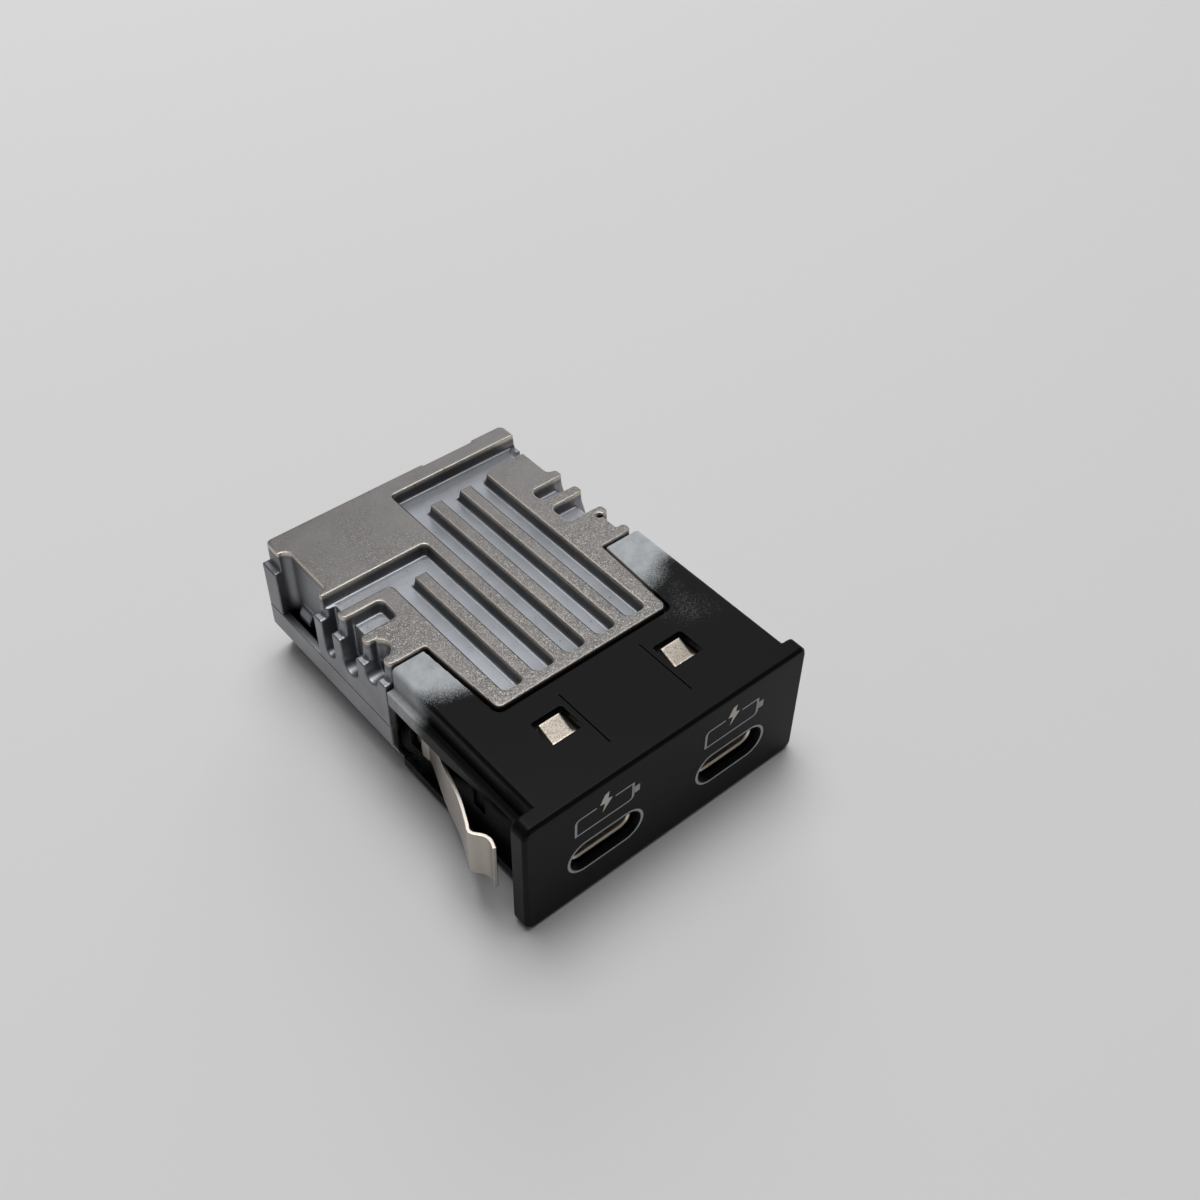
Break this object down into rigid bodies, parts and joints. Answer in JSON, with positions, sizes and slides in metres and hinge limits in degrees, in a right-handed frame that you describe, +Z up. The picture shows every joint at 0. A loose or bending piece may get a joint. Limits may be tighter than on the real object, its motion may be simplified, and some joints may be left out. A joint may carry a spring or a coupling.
{
  "type": "usb-c socket",
  "caption": "Console charging module with USB-C sockets: black plastic front cover snapped over a ribbed die-cast housing, with a spring clip on each side.",
  "frame": {"origin": "under the middle of the whole module, on the level of its underside", "axes": "+X to the right when facing the sockets, +Y from the face to the rear, +Z up"},
  "size_m": [0.044, 0.0538, 0.0182],
  "materials": {
    "black_plastic": "fine matt, sprayed edge fading to bare pale grey",
    "casting": "as cast, blasted",
    "spring_steel": "rolled",
    "board_green": "solder mask",
    "shell_steel": "nickel plated",
    "moulding_black": "moulded",
    "contact_gold": "gold plated",
    "clear_guide": "polished",
    "led": "phosphor",
    "chip_black": "moulded",
    "ferrite": "pressed powder",
    "can": "drawn",
    "ceramic": "fired",
    "thermal_pad": "soft",
    "header_black": "moulded",
    "tin": "tin plated",
    "screw_zinc": "zinc plated"
  },
  "bodies": {
    "root": {"front_cover": "black_plastic", "upper_housing": "casting", "lower_housing": "casting", "spring_clip_left": "spring_steel", "spring_clip_right": "spring_steel", "circuit_board": "board_green", "port_shell_left": "shell_steel", "port_shell_right": "shell_steel", "port_tongue_left": "moulding_black", "port_tongue_right": "moulding_black", "port_contacts_left": "contact_gold", "port_contacts_right": "contact_gold", "light_guide_left": "clear_guide", "light_guide_right": "clear_guide", "symbol_led_left": "led", "symbol_led_right": "led", "port_controller_left": "chip_black", "port_controller_right": "chip_black", "converter_left": "chip_black", "converter_right": "chip_black", "hub_chip": "chip_black", "choke_1": "ferrite", "choke_2": "ferrite", "can_capacitor_1": "can", "can_capacitor_2": "can", "chip_capacitor_1": "ceramic", "chip_capacitor_2": "ceramic", "chip_capacitor_3": "ceramic", "chip_capacitor_4": "ceramic", "chip_pad_left": "thermal_pad", "chip_pad_right": "thermal_pad", "choke_pad_1": "thermal_pad", "choke_pad_2": "thermal_pad", "rear_header": "header_black", "header_pin_1": "tin", "header_pin_2": "tin", "header_pin_3": "tin", "header_pin_4": "tin", "header_pin_5": "tin", "header_pin_6": "tin", "housing_screw_1": "screw_zinc", "housing_screw_2": "screw_zinc", "housing_screw_3": "screw_zinc", "housing_screw_4": "screw_zinc"}
  },
  "joints": []
}
